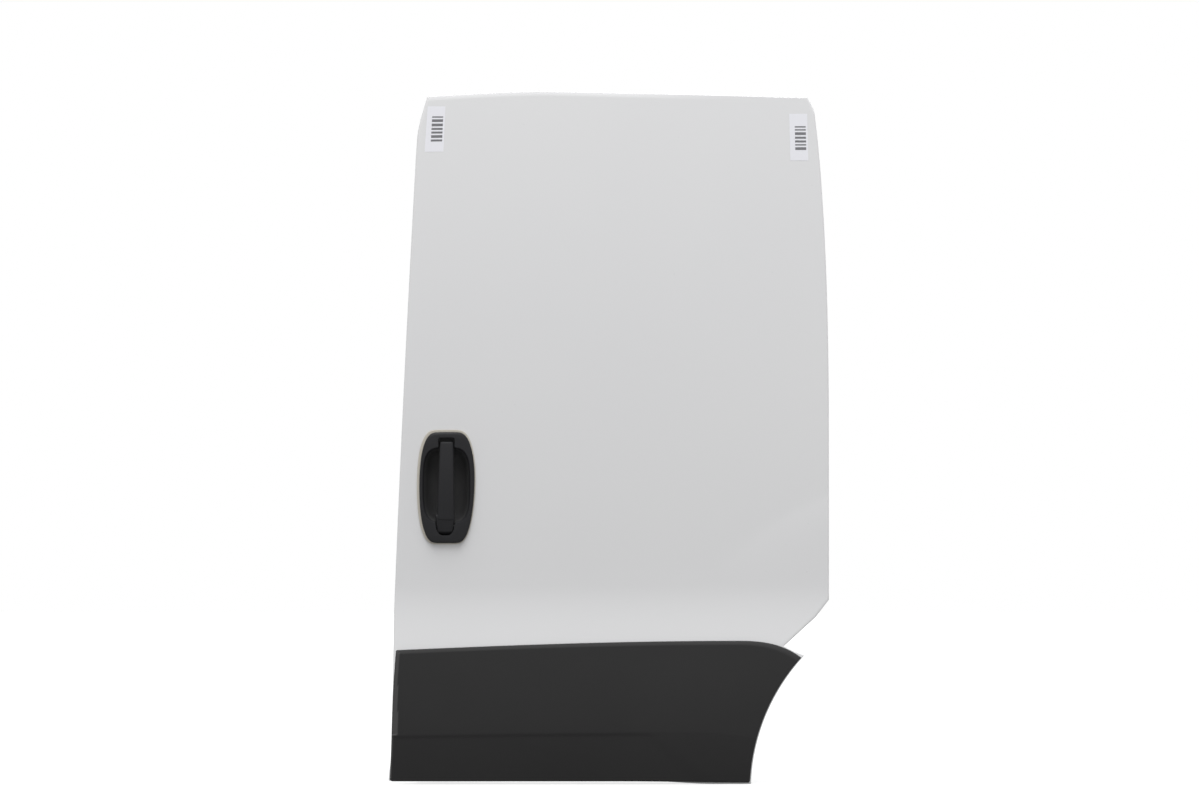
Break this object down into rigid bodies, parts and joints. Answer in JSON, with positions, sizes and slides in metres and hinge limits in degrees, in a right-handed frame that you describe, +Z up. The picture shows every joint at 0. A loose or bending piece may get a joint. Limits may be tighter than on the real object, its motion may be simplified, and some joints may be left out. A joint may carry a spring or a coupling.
{
  "type": "left sliding side door of a small panel van",
  "caption": "Blank left sliding side door of a small panel van with a wheel-arch cut at its rear foot, upright pull handle, deep plastic moulding and inner frame.",
  "frame": {"origin": "middle of the upright inboard face of the middle roller carriage, behind the door's rear edge", "axes": "+X towards the rear of the van, +Y inboard, square to the door, +Z up"},
  "size_m": [0.761, 0.2457, 1.2],
  "materials": {
    "white_paint": "gloss",
    "bare_steel": "satin",
    "moulding_plastic": "fine grain",
    "handle_plastic": "fine grain",
    "clip_plastic": "plain",
    "gasket_foam": "matt",
    "zinc_steel": "zinc plated",
    "black_steel": "semi-gloss",
    "roller_nylon": "smooth",
    "seal_rubber": "matt"
  },
  "bodies": {
    "door": {"outer_skin": "white_paint", "frame_front": "white_paint", "frame_top": "white_paint", "frame_rear": "white_paint", "frame_arch": "white_paint", "frame_foot": "white_paint", "waist_rail": "white_paint", "lower_inner_panel": "white_paint", "skin_stiffener": "white_paint", "impact_beam": "bare_steel", "lower_moulding": "moulding_plastic", "handle_surround": "handle_plastic", "moulding_clips": "clip_plastic", "handle_gasket": "gasket_foam", "handle_pivot": "zinc_steel", "handle_pin": "zinc_steel", "handle_backplate": "zinc_steel", "front_lock": "zinc_steel", "rear_latch": "zinc_steel", "lock_relay": "zinc_steel", "front_lock_rod": "zinc_steel", "rear_lock_rod": "zinc_steel", "upper_arm": "black_steel", "middle_arm": "black_steel", "middle_carriage": "black_steel", "lower_arm": "black_steel", "upper_roller": "roller_nylon", "middle_rollers": "roller_nylon", "lower_rollers": "roller_nylon", "weatherstrip": "seal_rubber", "door_bumpers": "seal_rubber"},
    "grip": {"handle_grip": "handle_plastic"}
  },
  "joints": [
    {"name": "grip_hinge", "type": "hinge", "parent": "door", "child": "grip", "pos_m": [-0.60122, -0.13886, -0.21615], "axis": [1, 0, 0], "range_deg": [0, 28], "stiffness_Nm_per_rad": 2, "springref_deg": -9.74}
  ]
}
